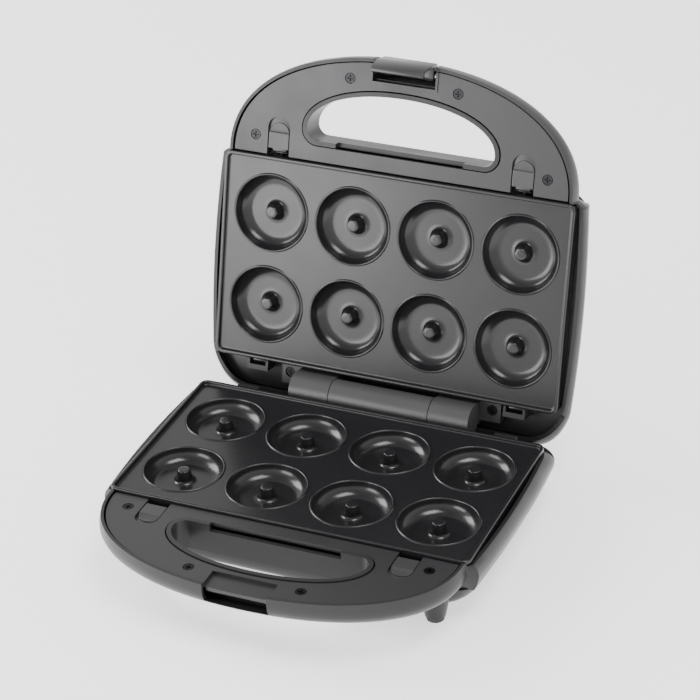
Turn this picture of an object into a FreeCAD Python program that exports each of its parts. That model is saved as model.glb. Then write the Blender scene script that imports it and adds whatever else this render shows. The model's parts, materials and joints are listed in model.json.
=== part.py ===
import FreeCAD, Part
import functools
import math
import os

# Electric donut maker for eight small ring donuts, standing with its lid open.
#
# Each half is drawn in its own frame: x to the right, y to the back, and w, the depth
# from the cooking field into the half. The base is that frame turned over, z = -w. The
# closed lid is z = FIELD_GAP + w, and it is then turned back about the hinge axis.
# At the end everything is moved so that the feet stand on z = 0.

# ---- cooking plates -------------------------------------------------------------
PITCH_X = 54.0            # between cavity centres, across
PITCH_Y = 58.6            # between cavity centres, front to back
COLUMNS = 4
ROWS = 2
CAVITY_R = 23.3           # mouth of a ring cavity
CAVITY_FLOOR_R = 16.0
CAVITY_DEPTH = 8.0
BEAD_H = 0.6              # raised bead round each cavity
PEG_TOP_R = 3.1
PEG_BASE_R = 7.0
CASTING_T = 2.0
PLATE_X = 113.0           # half sizes of the plate
PLATE_Y = 65.0
PLATE_CORNER = 5.0
RIM_H = 2.4
RIM_W = 2.2
SKIRT_DEPTH = 8.0
FIELD_GAP = 6.0           # between the two cooking fields when closed
REAR_LUG_X = 85.0
REAR_LUG_Y = 67.5
REAR_LUG_W = 5.0
REAR_LUG_R = 1.8

# ---- housings -------------------------------------------------------------------
WALL = 2.2
LIP_W = -1.5              # edge of the shell round the handle face
BULGE_W = 8.0             # depth where the shell is widest
SIDE_MAX = 120.5
SIDE_LIP_IN = 5.0
HANDLE_JOG = 8.5          # the handle is this much narrower than the body, each side
HANDLE_JOG_LIP = 3.4      # and less by this at its edge
HIP_Y = -62.0             # where the body reaches its own width again
HIP_IN = 2.6
HANDLE_Y = -66.0          # where the handle meets the body
NOSE = 69.0               # handle length in front of HANDLE_Y
HANDLE_DEPTH = 18.0
BASE_DEPTH = 34.0
LID_DEPTH = 36.0
BODY_FRONT = -74.0        # front wall of the deep body, under the handle
BASE_REAR = 87.5
LID_REAR = 89.7
BASE_REAR_LIP_W = 12.5
LID_REAR_LIP_W = 5.0
FLANK_W = 5.0             # depth where the flanks begin to roll under
FLANK_ROLL = 30.0
CURVE = 2.2               # exponent of the handle's outline

# ---- inner frames ---------------------------------------------------------------
FACE_W = -0.5
FACE_T = 2.5
FACE_X = 107.4
FACE_NOSE = 66.0
LEDGE_W = 8.0
LEDGE_T = 2.0
TROUGH_W = 13.0
GAP = 0.4                 # clearance of the frame in its housing

# ---- hand opening in the handle --------------------------------------------------
WINDOW_X = 60.4
WINDOW_REAR = -78.8
WINDOW_MID = -85.8
WINDOW_ARC = 26.2
TUBE_T = 2.8
TUBE_GAP = 0.8
VENT_X = 41.0
VENT_W = 3.5

# ---- plate release buttons -------------------------------------------------------
BUTTON_X = 78.75
SLOT_HALF = 7.25
SLOT_END = -90.0
BUTTON_HALF = 6.85
BUTTON_FRONT = -86.0
BUTTON_REAR = -70.0
BUTTON_TRAVEL = 4.0
SPRING_R = 1.85
SPRING_WIRE = 0.35
SPRING_TURNS = 5
SPRING_W = 4.3
SPRING_START = -96.4
SPRING_LENGTH = 10.3
SHELF_W = 1.15            # cover in front of the dome, over the spring
SHELF_T = 0.8
SHELF_FRONT = -91.9

# ---- latch -----------------------------------------------------------------------
LATCH_HALF = 16.7
NOTCH_HALF = 19.7
NOTCH_Y = -120.5
KEEPER_W = 1.5            # top of the lip that the clip's hook goes under
KEEPER_T = 4.4
KEEPER_FRONT = -130.75
PIVOT_Y = -127.0
PIVOT_W = 6.5
PIN_R = 1.5

# ---- hinge -----------------------------------------------------------------------
HINGE_Y = 77.5
HINGE_X = 2.8             # middle of the hinge, right of the plates' middle
HINGE_Z = 0.4
OPEN_DEG = 104.3
BARREL_R = 10.0
BARREL_HALF = 32.5
KNUCKLE_START = 33.0
KNUCKLE_END = 59.0
HINGE_PIN_R = 5.0
HINGE_PIN_BORE = 3.0
HINGE_PIN_START = 18.0
HINGE_PIN_END = 44.0
WIRE_R = 1.6

# ---- screws and feet -------------------------------------------------------------
SCREW_R = 1.5
SCREW_HEAD_R = 3.0
FACE_SCREWS = [(-94.0, -77.0), (-34.5, -120.0), (34.5, -120.0), (94.0, -77.0)]
BODY_SCREWS_FRONT = [(-60.0, -62.6), (60.0, -62.6)]
BODY_SCREWS_REAR = [(-60.0, 74.0), (60.0, 74.0)]
FEET = [(-93.0, -67.0), (93.0, -67.0), (-93.0, 66.0), (93.0, 66.0)]
FOOT_BOTTOM = 39.0
PAD_T = 3.0
PLUG_LENGTH = 2.0

# ---- heating ---------------------------------------------------------------------
ELEMENT_W = 16.0
ELEMENT_R = 3.2
SHIELD_X = 107.0
SHIELD_Y = 58.0
SHIELD_W = 22.6
SHIELD_T = 0.8

# ---- smaller places --------------------------------------------------------------
GLAND_X = 70.0
GLAND_W = 27.0
GLAND_R = 5.5
GLAND_BORE = 3.6
LAMPS_X = (-9.0, 9.0)
LAMP_Y = -50.0
LENS_R = 3.4
WIRE_RISE_X = 6.0
LID_WIRE_X = 50.0
KNUCKLE_SCREW_X = 67.0
KNUCKLE_SCREW_Y = 72.0
BARREL_SCREWS = (-20.0, 20.0)

# From the plate's centre to the row's origin, under the middle of the opened object.
ORIGIN_SHIFT = FreeCAD.Vector(0.0, -9.1, FOOT_BOTTOM)


def vec(x, y, w):
    return FreeCAD.Vector(x, y, w)


def block(x0, x1, y0, y1, w0, w1):
    return Part.makeBox(x1 - x0, y1 - y0, w1 - w0, vec(x0, y0, w0))


def rod(x, y, w0, w1, radius):
    return Part.makeCylinder(radius, w1 - w0, vec(x, y, w0), vec(0, 0, 1))


def cross_rod(x0, x1, y, w, radius):
    return Part.makeCylinder(radius, x1 - x0, vec(x0, y, w), vec(1, 0, 0))


def fused(shapes):
    body = shapes[0]
    for shape in shapes[1:]:
        body = body.fuse(shape)
    return body.removeSplitter()


def slab(wire, w0, w1):
    """A flat solid: the wire, drawn at w = 0, from depth w0 to w1."""
    face = Part.Face(wire)
    face.translate(vec(0, 0, w0))
    return face.extrude(vec(0, 0, w1 - w0))


def rounded_rectangle(half_x, half_y, radius):
    """A closed wire at w = 0 with round corners."""
    edges = []
    turn = radius * (1 - math.sqrt(0.5))
    for sx, sy in ((1, -1), (1, 1), (-1, 1), (-1, -1)):
        side = vec(sx * half_x, sy * (half_y - radius), 0)
        middle = vec(sx * (half_x - turn), sy * (half_y - turn), 0)
        end = vec(sx * (half_x - radius), sy * half_y, 0)
        corner = (side, middle, end) if sx * sy > 0 else (end, middle, side)
        if edges:
            edges.append(Part.LineSegment(edges[-1].lastVertex(True).Point, corner[0]).toShape())
        edges.append(Part.Arc(*corner).toShape())
    edges.append(Part.LineSegment(edges[-1].lastVertex(True).Point,
                                  edges[0].firstVertex(True).Point).toShape())
    return Part.Wire(edges)


def nose_curve(half_x, length, y_mid, w, exponent):
    """The front of an outline: |x/half_x|^n + |(y - y_mid)/length|^n = 1, from +x to -x."""
    points = []
    for step in range(17):
        angle = math.pi * step / 16
        cosine = math.cos(angle)
        x = half_x * math.copysign(abs(cosine) ** (2 / exponent), cosine)
        y = y_mid - length * math.sin(angle) ** (2 / exponent)
        points.append(vec(x, y, w))
    points[0] = vec(half_x, y_mid, w)
    points[-1] = vec(-half_x, y_mid, w)
    curve = Part.BSplineCurve()
    curve.interpolate(points)
    return curve.toShape()


def roll(depth, start, end, power):
    """0 at the depth start, growing to 1 at end as a quarter of a superellipse."""
    t = min(max((depth - start) / (end - start), 0.0), 1.0)
    return 1.0 - (1.0 - t ** power) ** (1.0 / power)


class Half:
    """The sizes in which the two halves differ."""

    def __init__(self, name, depth, rear, rear_lift, corner, side_lip_w, rear_lip_w):
        self.name = name
        self.depth = depth
        self.rear = rear
        self.rear_lift = rear_lift
        self.corner = corner
        self.side_lip_w = side_lip_w
        self.rear_lip_w = rear_lip_w


LOWER = Half("lower", BASE_DEPTH, BASE_REAR, 7.5, 22.0, 0.5, BASE_REAR_LIP_W)
UPPER = Half("upper", LID_DEPTH, LID_REAR, 5.0, 26.0, 2.5, LID_REAR_LIP_W)


def section(half, w, inset, body):
    """The shell's outline at depth w, drawn in by inset. body leaves the handle off."""
    depth = half.depth - inset
    lip = min(max((BULGE_W - w) / (BULGE_W - LIP_W), 0.0), 1.0)
    side = SIDE_MAX - inset - SIDE_LIP_IN * lip ** 2 - FLANK_ROLL * roll(w, FLANK_W, depth, 2.0)
    jog = HANDLE_JOG - HANDLE_JOG_LIP * lip ** 2
    rear_lift = half.rear_lift * max((17.0 - w) / 12.0, 0.0) ** 2
    rear = half.rear - inset - rear_lift - 18.0 * roll(w, 17.0, depth, 2.6)
    if body:
        front = -BODY_FRONT + HANDLE_Y - inset - 13.0 * roll(w, 20.0, depth, 2.2)
        mid = HANDLE_Y + 14.0
        length = front + 14.0
        neck = side - HIP_IN
        hip_y = mid
    else:
        under = roll(w, 3.0, HANDLE_DEPTH - inset, 2.4)
        mid = HANDLE_Y
        length = NOSE - inset - 24.0 * under
        neck = side - jog - 12.0 * under
        hip_y = HIP_Y
    corner = half.corner - inset
    shoulder = side - 2.0
    turn = corner * (1 - math.sqrt(0.5))
    edges = [nose_curve(neck, length, mid, w, 3.5 if body else CURVE)]
    for sign in (-1, 1):
        foot_of_nose = vec(sign * neck, mid, w)
        hip = vec(sign * (side - HIP_IN), hip_y, w)
        waist = vec(sign * side, 12.0, w)
        start = vec(sign * shoulder, rear - corner, w)
        middle = vec(sign * (shoulder - turn), rear - turn, w)
        end = vec(sign * (shoulder - corner), rear, w)
        if sign < 0:
            if not body:
                edges.append(Part.LineSegment(foot_of_nose, hip).toShape())
            edges.append(Part.Arc(hip, waist, start).toShape())
            edges.append(Part.Arc(start, middle, end).toShape())
            edges.append(Part.LineSegment(end, vec(-end.x, end.y, w)).toShape())
        else:
            edges.append(Part.Arc(end, middle, start).toShape())
            edges.append(Part.Arc(start, waist, hip).toShape())
            if not body:
                edges.append(Part.LineSegment(hip, foot_of_nose).toShape())
    return Part.Wire(edges)


def stack(half, levels, inset, body):
    return Part.makeLoft([section(half, w, inset, body) for w in levels], True, True)


@functools.lru_cache(maxsize=None)
def envelope(half, inset):
    """The half as one lump: the thin handle slab and the deep body, each a stack of outlines."""
    handle_depth = HANDLE_DEPTH - inset
    top = LIP_W - (10.0 if inset else 0.0)
    steps = [0.0, 0.2, 0.4, 0.57, 0.72, 0.84, 0.93, 0.98, 1.0]
    levels = [top] + [LIP_W + 1.5 + (handle_depth - LIP_W - 1.5) * t for t in steps]
    slab_part = stack(half, levels, inset, False)
    depth = half.depth - inset
    steps = [0.0, 0.3, 0.5, 0.68, 0.82, 0.92, 0.98, 1.0]
    levels = [handle_depth - 1.0 + (depth - handle_depth + 1.0) * t for t in steps]
    body_part = stack(half, levels, inset, True)
    return slab_part.fuse(body_part)


def window_wire(grow):
    """The hand opening: straight at the back, round corners, a curved front."""
    half_x = WINDOW_X + grow
    rear = WINDOW_REAR + grow
    corner = rear - WINDOW_MID
    turn = corner * (1 - math.sqrt(0.5))
    edges = [nose_curve(half_x, WINDOW_ARC + grow, WINDOW_MID, 0.0, 2.1)]
    left = (vec(-half_x, WINDOW_MID, 0), vec(-half_x + turn, rear - turn, 0), vec(-half_x + corner, rear, 0))
    right = (vec(half_x - corner, rear, 0), vec(half_x - turn, rear - turn, 0), vec(half_x, WINDOW_MID, 0))
    edges.append(Part.Arc(*left).toShape())
    edges.append(Part.LineSegment(left[2], right[0]).toShape())
    edges.append(Part.Arc(*right).toShape())
    return Part.Wire(edges)


def face_wire(grow):
    """The handle face: a curved front closed by a straight line at the plate."""
    curve = nose_curve(FACE_X + grow, FACE_NOSE + grow, HANDLE_Y, 0.0, CURVE)
    closing = Part.LineSegment(vec(-FACE_X - grow, HANDLE_Y, 0), vec(FACE_X + grow, HANDLE_Y, 0))
    return Part.Wire([curve, closing.toShape()])


def section_slab(half, w, thickness, inset, y0, y1):
    """A flat sheet that fills the shell at depth w, between y0 and y1."""
    wire = section(half, w, inset, False)
    sheet = Part.Face(wire).extrude(vec(0, 0, thickness))
    return sheet.common(block(-140, 140, y0, y1, w - 1, w + thickness + 1))


# ---- housings -------------------------------------------------------------------
def knuckle_screw_places():
    return [HINGE_X + sign * KNUCKLE_SCREW_X for sign in (-1, 1)]


def body_posts(half):
    """Where the posts stand that join the shell to the inner frame, and their top depth."""
    if half is UPPER:
        return [(x, KNUCKLE_SCREW_Y, TROUGH_W + LEDGE_T) for x in knuckle_screw_places()]
    front = [(x, y, LEDGE_W + LEDGE_T) for x, y in BODY_SCREWS_FRONT]
    return front + [(x, y, TROUGH_W + LEDGE_T) for x, y in BODY_SCREWS_REAR]


def housing(half):
    """The outer shell with its hand tube, screw posts and cut-back rear edge."""
    outer = envelope(half, 0.0)
    shell = outer.cut(envelope(half, WALL))
    tube = slab(window_wire(TUBE_T), FACE_W - 0.6, HANDLE_DEPTH + 2.0)
    posts = [rod(x, y, FACE_W + FACE_T, HANDLE_DEPTH, 3.75) for x, y in FACE_SCREWS]
    posts += [rod(x, y, top_w, half.depth, 3.8) for x, y, top_w in body_posts(half)]
    back_w = 2.5 if half is UPPER else KEEPER_W + KEEPER_T + 0.3
    posts.append(block(-22.4, 22.4, -121.5, NOTCH_Y + 1.0, back_w, HANDLE_DEPTH))
    if half is UPPER:
        posts += [block(x, x + 2.4, -132.5, -121.0, 2.5, HANDLE_DEPTH) for x in (-22.4, 20.0)]
    inside = fused([post.common(outer) for post in posts])
    shell = shell.fuse(tube.common(outer.fuse(slab(window_wire(TUBE_T), -3, 2)))).fuse(inside)
    shell = shell.cut(slab(window_wire(0.0), -5, 45))
    shell = shell.cut(block(-VENT_X, VENT_X, WINDOW_REAR - 1, WINDOW_REAR + TUBE_T + 1, -5, VENT_W))
    shell = shell.cut(block(-140, 140, HANDLE_Y + 1, 140, -5, half.side_lip_w))
    shell = shell.cut(rear_cut(half))
    shell = shell.cut(slab(rounded_rectangle(PLATE_X + 0.5, PLATE_Y + 0.5, PLATE_CORNER + 0.5), -5, 9))
    notch_depth = 13.6 if half is UPPER else 11.5
    shell = shell.cut(block(-NOTCH_HALF, NOTCH_HALF, -140, -121.5, -5, notch_depth))
    for x, y in FACE_SCREWS:
        shell = shell.cut(rod(x, y, 0, 12.5, SCREW_R + 0.02))
    for x, y, top_w in body_posts(half):
        shell = shell.cut(rod(x, y, 0, top_w + 14.4, SCREW_R + 0.02))
        if half is LOWER:
            shell = shell.cut(rod(x, y, top_w + 14.4, 50, SCREW_HEAD_R + 0.3))
    return shell


def rear_cut(half):
    """The edge drops from the side lip to the rear lip with a slope at the back corners."""
    low = half.rear_lip_w
    corners = [(58.0, -6.0), (66.0 + low / 3, low), (140.0, low), (140.0, -6.0)]
    points = [vec(-140, y, w) for y, w in corners]
    wire = Part.makePolygon(points + [points[0]])
    return Part.Face(wire).extrude(vec(280, 0, 0))


def lower_housing():
    """The base shell, with four legs, bores for the gland and for the barrel screws."""
    shell = housing(LOWER)
    for x, y in FEET:
        leg = Part.makeCone(9.5, 6.2, FOOT_BOTTOM - PAD_T - 18.0, vec(x, y, 18.0), vec(0, 0, 1))
        shell = shell.fuse(leg.cut(envelope(LOWER, WALL)))
    for x, y in FEET:
        shell = shell.cut(rod(x, y, FOOT_BOTTOM - PAD_T - PLUG_LENGTH, FOOT_BOTTOM, 4.02))
    bore = Part.makeCylinder(GLAND_R + 0.02, 20, vec(GLAND_X, 78, GLAND_W), vec(0, 1, 0))
    return shell.cut(bore)


def upper_housing():
    """The lid shell, with the latch pin's holes and the bores of the two lamps."""
    shell = housing(UPPER)
    shell = shell.cut(cross_rod(-22.4, 22.4, PIVOT_Y, PIVOT_W, PIN_R + 0.02))
    for x in LAMPS_X:
        shell = shell.cut(rod(x, LAMP_Y, 28.0, 45.0, LENS_R + 0.02))
    return shell


# ---- inner frames ---------------------------------------------------------------
def inner_frame(half):
    """The handle face, the ledge that the plate stands on and the rear trough, in one piece."""
    face = slab(face_wire(0.0), FACE_W, FACE_W + FACE_T)
    face = face.cut(slab(window_wire(TUBE_T + TUBE_GAP), -3, 4))
    front_wall = block(-FACE_X + 1, FACE_X - 1, HANDLE_Y - 2.2, HANDLE_Y, FACE_W, LEDGE_W + LEDGE_T)
    inset = WALL + GAP
    ledge = section_slab(half, LEDGE_W, LEDGE_T, inset, HANDLE_Y - 2.2, 66.5)
    ledge = ledge.cut(slab(rounded_rectangle(104.0, 57.0, 8.0), 0, 20))
    trough = section_slab(half, TROUGH_W, LEDGE_T, inset, 64.5, 120)
    step = section_slab(half, LEDGE_W, TROUGH_W - LEDGE_W + 1, inset + 0.6, 64.5, 66.5)
    parts = [face, front_wall, ledge, trough, step]
    for sign in (-1, 1):
        x = sign * BUTTON_X
        parts.append(block(x - 9.3, x + 9.3, -98.0, HANDLE_Y - 1, 6.6, 8.1))
        parts.append(block(x - 9.3, x + 9.3, -98.0, -96.4, FACE_W + 1, 8.1))
    if half is LOWER:
        end_r = KEEPER_T / 2
        parts.append(block(-19.0, 19.0, KEEPER_FRONT + end_r, -118.0, KEEPER_W, KEEPER_W + KEEPER_T))
        parts.append(cross_rod(-19.0, 19.0, KEEPER_FRONT + end_r, KEEPER_W + end_r, end_r))
    else:
        for x0, x1, y0 in ((20.0, 21.4, -131.0), (-21.4, -20.0, -131.0), (-21.4, 21.4, -120.5)):
            parts.append(block(x0, x1, y0, -119.1, FACE_W - 0.7, FACE_W + 1))
    frame = fused(parts)
    for sign in (-1, 1):
        frame = frame.cut(button_slot(sign * BUTTON_X)).cut(shelf_recess(sign * BUTTON_X))
    notch_y = NOTCH_Y + (0.0 if half is UPPER else 2.0)
    frame = frame.cut(block(-NOTCH_HALF - 0.3, NOTCH_HALF + 0.3, -140, notch_y, -5, 1.5))
    if half is UPPER:
        frame = frame.cut(block(-NOTCH_HALF - 0.3, NOTCH_HALF + 0.3, -140, notch_y, -5, 5))
    for x, y in FACE_SCREWS:
        frame = frame.cut(rod(x, y, -5, 5, SCREW_R + 0.02)).cut(rod(x, y, -5, 0.9, SCREW_HEAD_R + 0.35))
    for x, y, top_w in body_posts(half):
        frame = frame.cut(rod(x, y, top_w - 1.6, top_w + 1, SCREW_R + 0.02))
    if half is LOWER:
        holes = [(HINGE_X + x, HINGE_Y - 1, SCREW_R + 0.02) for x in BARREL_SCREWS]
        holes.append((HINGE_X + WIRE_RISE_X, HINGE_Y, 2.4))
    else:
        holes = [(x, KNUCKLE_SCREW_Y, SCREW_R + 0.02) for x in knuckle_screw_places()]
        holes.append((HINGE_X + LID_WIRE_X, HINGE_Y, 2.4))
    for x, y, radius in holes:
        frame = frame.cut(rod(x, y, 10, 20, radius))
    return frame


def button_slot(x):
    """A slot open towards the plate with a round far end."""
    arc_y = SLOT_END + SLOT_HALF
    straight = block(x - SLOT_HALF, x + SLOT_HALF, arc_y, HANDLE_Y + 1, -5, 2.3)
    passage = block(x - SLOT_HALF, x + SLOT_HALF, -69.5, HANDLE_Y + 1, -5, 6.6)
    return straight.fuse(rod(x, arc_y, -5, 2.3, SLOT_HALF)).fuse(passage)


def shelf_recess(x):
    """Room under the handle face for the button's cover when the button is pushed."""
    return block(x - 7.6, x + 7.6, SHELF_FRONT - BUTTON_TRAVEL - 0.4, SLOT_END + SLOT_HALF, SHELF_W - 0.15, 2.3)


# ---- cooking plates -------------------------------------------------------------
def cavity_profile():
    """Half section of a ring cavity with its peg and bead, turned about its own axis."""
    def at(r, w):
        return vec(r, 0, w)

    edges = [
        Part.LineSegment(at(0, 0), at(PEG_TOP_R, 0)),
        Part.Arc(at(PEG_TOP_R, 0), at(PEG_TOP_R + 0.5, 0.25), at(PEG_TOP_R + 0.7, 0.8)),
        Part.LineSegment(at(PEG_TOP_R + 0.7, 0.8), at(4.7, 5.2)),
        Part.Arc(at(4.7, 5.2), at(5.4, 7.2), at(PEG_BASE_R, CAVITY_DEPTH)),
        Part.LineSegment(at(PEG_BASE_R, CAVITY_DEPTH), at(CAVITY_FLOOR_R, CAVITY_DEPTH)),
        Part.Arc(at(CAVITY_FLOOR_R, CAVITY_DEPTH), at(21.3, 5.6), at(CAVITY_R, 0.3)),
        Part.LineSegment(at(CAVITY_R, 0.3), at(CAVITY_R + 0.2, -BEAD_H + 0.2)),
        Part.Arc(at(CAVITY_R + 0.2, -BEAD_H + 0.2), at(24.1, -BEAD_H - 0.1), at(24.7, -BEAD_H + 0.2)),
        Part.LineSegment(at(24.7, -BEAD_H + 0.2), at(25.0, 0)),
        Part.LineSegment(at(25.0, 0), at(25.0, CASTING_T)),
        Part.Arc(at(25.0, CASTING_T), at(22.6, 7.2), at(CAVITY_FLOOR_R + 0.5, CAVITY_DEPTH + CASTING_T)),
        Part.LineSegment(at(CAVITY_FLOOR_R + 0.5, CAVITY_DEPTH + CASTING_T), at(0, CAVITY_DEPTH + CASTING_T)),
        Part.LineSegment(at(0, CAVITY_DEPTH + CASTING_T), at(0, 0)),
    ]
    return Part.Wire([edge.toShape() for edge in edges])


def cavity_centres():
    centres = []
    for column in range(COLUMNS):
        for row in range(ROWS):
            x = (column - (COLUMNS - 1) / 2) * PITCH_X
            y = (row - (ROWS - 1) / 2) * PITCH_Y
            centres.append((x, y))
    return centres


def cooking_plate():
    """One casting: field, rim, skirt, eight ring cavities, rear lugs and front lugs."""
    plate = slab(rounded_rectangle(PLATE_X, PLATE_Y, PLATE_CORNER), -RIM_H, SKIRT_DEPTH)
    inner_x = PLATE_X - RIM_W
    inner_y = PLATE_Y - RIM_W
    plate = plate.cut(slab(rounded_rectangle(inner_x, inner_y, PLATE_CORNER - 1.5), -5, 0))
    below = rounded_rectangle(PLATE_X - CASTING_T, PLATE_Y - CASTING_T, PLATE_CORNER - 1.5)
    plate = plate.cut(slab(below, CASTING_T, 20))
    ring = Part.Face(cavity_profile()).revolve(vec(0, 0, 0), vec(0, 0, 1), 360)
    for x, y in cavity_centres():
        plate = plate.cut(rod(x, y, -1, 5, 24.5))
    rings = []
    for x, y in cavity_centres():
        cup = ring.copy()
        cup.translate(vec(x, y, 0))
        rings.append(cup)
    for sign in (-1, 1):
        x = sign * REAR_LUG_X
        rings.append(cross_rod(x - 5, x + 5, REAR_LUG_Y, REAR_LUG_W, REAR_LUG_R))
        rings.append(block(x - 4, x + 4, PLATE_Y - 1, REAR_LUG_Y, REAR_LUG_W - 1.5, REAR_LUG_W + 1.5))
        x = sign * BUTTON_X
        rings.append(block(x - 5, x + 5, -PLATE_Y - 2.6, -PLATE_Y + 1, 4.6, 6.2))
    return plate.multiFuse(rings).removeSplitter()


def plate_brackets():
    """Two forks behind the plate, one round each rear lug, open towards the cooking side."""
    forks = []
    for sign in (-1, 1):
        x = sign * REAR_LUG_X
        fork = block(x - 7, x + 7, PLATE_Y + 1.3, 73.0, 1.2, TROUGH_W)
        fork = fork.cut(block(x - 5.4, x + 5.4, PLATE_Y, 69.8, 0, REAR_LUG_W + 2.2))
        fork = fork.cut(block(x - 8, x + 8, PLATE_Y, 67.0, LEDGE_W - 0.3, TROUGH_W + 1))
        forks.append(fork)
    return forks


# ---- release buttons ------------------------------------------------------------
def release_button(x):
    """A slider with a domed end, a flange under the handle face and a tongue for the plate lug."""
    dome_y = BUTTON_FRONT + BUTTON_HALF
    body = block(x - BUTTON_HALF, x + BUTTON_HALF, dome_y, BUTTON_REAR, -0.3, 6.0)
    body = body.fuse(rod(x, dome_y, -0.3, 6.0, BUTTON_HALF))
    flange = block(x - 8.3, x + 8.3, -87.5, BUTTON_REAR, 2.6, 6.0)
    flange = flange.cut(block(x - 2.8, x + 2.8, -88, -86.0, 2, 7))
    tongue = block(x - 4.5, x + 4.5, BUTTON_REAR - 1, -68.2, 1.6, 4.2)
    slope = Part.makeCylinder(30.0, 20, vec(x - 10, dome_y - 6.0, -29.4), vec(1, 0, 0))
    scoop = slope.common(block(x - 10, x + 10, BUTTON_FRONT - 1, dome_y - 1.0, -1, 1))
    shelf = block(x - 7.1, x + 7.1, SHELF_FRONT, dome_y, SHELF_W, SHELF_W + SHELF_T)
    return fused([body, flange, tongue, shelf]).cut(scoop)


def button_spring(x):
    """A wire helix between the button's flange and the end of its pocket."""
    height = SPRING_LENGTH - 2 * SPRING_WIRE
    pitch = height / SPRING_TURNS
    helix = Part.makeHelix(pitch, height, SPRING_R)
    along = vec(0, 2 * math.pi * SPRING_R, pitch)
    wire = Part.Wire(Part.makeCircle(SPRING_WIRE, vec(SPRING_R, 0, 0), along))
    spring = Part.Wire(helix).makePipeShell([wire], True, True)
    spring.rotate(vec(0, 0, 0), vec(1, 0, 0), -90)
    spring.translate(vec(x, SPRING_START + SPRING_WIRE, SPRING_W))
    return spring


# ---- latch ----------------------------------------------------------------------
def latch_clip():
    """A curved wall that hangs past the lid's edge and ends in an inward hook."""
    wall = Part.BSplineCurve()
    wall.interpolate([vec(0, -134.4, 8.6), vec(0, -134.8, 0.0), vec(0, -134.1, -7.5), vec(0, -131.8, -13.4)])
    corners = [(-131.8, -13.4), (-129.3, -14.0), (-128.5, -12.2), (-131.2, -11.4), (-132.2, -7.5),
               (-132.6, 2.8), (-127.0, 3.2), (-127.0, 9.8), (-132.6, 10.2), (-134.4, 8.6)]
    edges = [wall.toShape()]
    for (y0, w0), (y1, w1) in zip(corners, corners[1:]):
        edges.append(Part.LineSegment(vec(0, y0, w0), vec(0, y1, w1)).toShape())
    profile = Part.Face(Part.Wire(edges))
    profile.translate(vec(-LATCH_HALF, 0, 0))
    clip = profile.extrude(vec(2 * LATCH_HALF, 0, 0))
    clip = clip.fuse(cross_rod(-LATCH_HALF, LATCH_HALF, PIVOT_Y, PIVOT_W, 3.3))
    clip = clip.cut(block(-11, 11, -132.4, -120, 0, 14))
    clip = clip.cut(cross_rod(-30, 30, PIVOT_Y, PIVOT_W, PIN_R + 0.05))
    return clip.removeSplitter()


# ---- hinge ----------------------------------------------------------------------
def centre_barrel():
    """The hollow middle barrel, in the lid's closed frame turned over to the base."""
    axis_w = -HINGE_Z
    barrel = cross_rod(HINGE_X - BARREL_HALF, HINGE_X + BARREL_HALF, HINGE_Y, axis_w, BARREL_R)
    foot = block(HINGE_X - 30, HINGE_X + 30, HINGE_Y - 8.0, HINGE_Y + 5.5, axis_w + 6, TROUGH_W)
    barrel = barrel.fuse(foot).removeSplitter()
    barrel = barrel.cut(cross_rod(-40, 40, HINGE_Y, axis_w, HINGE_PIN_R + 0.02))
    barrel = barrel.cut(rod(HINGE_X + WIRE_RISE_X, HINGE_Y, axis_w, 20, 2.4))
    for x in BARREL_SCREWS:
        barrel = barrel.cut(rod(HINGE_X + x, HINGE_Y - 1, 7.0, 20, SCREW_R + 0.02))
    return barrel


def across(sign, near, far):
    """A stretch along the hinge axis on one side of its middle, from left to right."""
    return sorted((HINGE_X + sign * near, HINGE_X + sign * far))


def hinge_knuckle(sign):
    """A lid knuckle: barrel, flat neck and a flange with one screw."""
    axis_w = HINGE_Z - FIELD_GAP
    x0, x1 = across(sign, KNUCKLE_START, KNUCKLE_END)
    barrel = cross_rod(x0, x1, HINGE_Y, axis_w, BARREL_R)
    neck = block(x0, x1, HINGE_Y - BARREL_R, HINGE_Y + 4.6, axis_w, TROUGH_W)
    f0, f1 = across(sign, KNUCKLE_END - 2, 72.5)
    flange = block(f0, f1, HINGE_Y - BARREL_R, HINGE_Y + 2, 5.5, TROUGH_W)
    knuckle = barrel.fuse([neck, flange]).removeSplitter()
    b0, b1 = across(sign, 30, 56)
    knuckle = knuckle.cut(cross_rod(b0, b1, HINGE_Y, axis_w, HINGE_PIN_R + 0.05))
    knuckle = knuckle.cut(rod(HINGE_X + sign * LID_WIRE_X, HINGE_Y, axis_w, 20, 2.4))
    screw_x = HINGE_X + sign * KNUCKLE_SCREW_X
    knuckle = knuckle.cut(rod(screw_x, KNUCKLE_SCREW_Y, 0, 20, SCREW_R + 0.02))
    return knuckle.cut(rod(screw_x, KNUCKLE_SCREW_Y, 0, 7.5, SCREW_HEAD_R + 0.4))


def hinge_pin(sign, axis_w):
    """A tube that the wires can pass through."""
    x0, x1 = across(sign, HINGE_PIN_START, HINGE_PIN_END)
    return cross_rod(x0, x1, HINGE_Y, axis_w, HINGE_PIN_R).cut(
        cross_rod(x0 - 1, x1 + 1, HINGE_Y, axis_w, HINGE_PIN_BORE))


# ---- screws ---------------------------------------------------------------------
def screw(x, y, head_w, length, toward=1):
    """A pan head with a cross recess at head_w and a shank that runs along toward * w."""
    head = rod(x, y, 0, 1.2, SCREW_HEAD_R)
    head = head.cut(block(x - 1.8, x + 1.8, y - 0.4, y + 0.4, -1, 0.8))
    head = head.cut(block(x - 0.4, x + 0.4, y - 1.8, y + 1.8, -1, 0.8))
    body = head.fuse(rod(x, y, 1.2, length, SCREW_R)).removeSplitter()
    if toward < 0:
        body.rotate(vec(x, y, 0), vec(1, 0, 0), 180)
    body.translate(vec(0, 0, head_w))
    return body


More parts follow.
